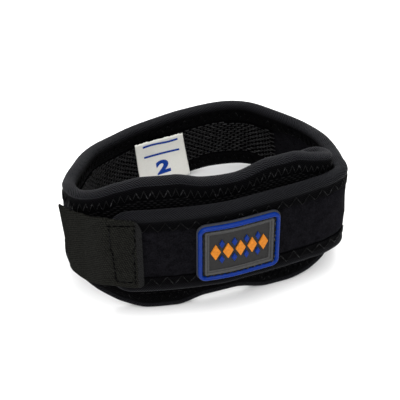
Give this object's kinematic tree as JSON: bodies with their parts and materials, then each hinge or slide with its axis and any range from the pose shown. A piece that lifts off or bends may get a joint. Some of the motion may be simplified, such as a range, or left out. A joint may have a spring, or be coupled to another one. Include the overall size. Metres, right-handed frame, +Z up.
{
  "type": "patella strap",
  "caption": "Padded strap worn round the leg below the kneecap: a two-lobed front pad, a plain strap that laps over it, a hook tab that closes it and a raised patch on the front",
  "frame": {"origin": "under the middle of the whole strap, on the surface that it stands on", "axes": "+Z is up and the leg goes through the loop along it; +X runs along the loop's longer side, with the hook tab at its -X end; -Y is the front with the patch"},
  "size_m": [0.1146, 0.0932, 0.063],
  "materials": {
    "padded_cloth": "brushed plush loop cloth, dull",
    "edge_tape": "fine twill tape with a slight sheen",
    "knitted_mesh": "chunky knitted mesh, dull",
    "hook_tape": "woven hook tape, dull",
    "moulded_grey": "soft moulded plastic, satin",
    "moulded_blue": "soft moulded plastic, satin",
    "moulded_orange": "soft moulded plastic, satin",
    "woven_label": "smooth woven tape with blue print"
  },
  "bodies": {
    "root": {"strap_core": "padded_cloth", "upper_binding": "edge_tape", "lower_binding": "edge_tape", "mesh_lining": "knitted_mesh", "hook_tab": "hook_tape", "patch_base": "moulded_grey", "patch_rim": "moulded_blue", "patch_frame": "moulded_grey", "patch_big_diamond_1": "moulded_orange", "patch_big_diamond_2": "moulded_orange", "patch_big_diamond_3": "moulded_orange", "patch_big_diamond_4": "moulded_orange", "patch_big_diamond_5": "moulded_orange", "patch_small_diamond_upper_1": "moulded_blue", "patch_small_diamond_upper_2": "moulded_blue", "patch_small_diamond_upper_3": "moulded_blue", "patch_small_diamond_upper_4": "moulded_blue", "patch_small_diamond_lower_1": "moulded_blue", "patch_small_diamond_lower_2": "moulded_blue", "patch_small_diamond_lower_3": "moulded_blue", "patch_small_diamond_lower_4": "moulded_blue", "size_label": "woven_label"}
  },
  "joints": []
}
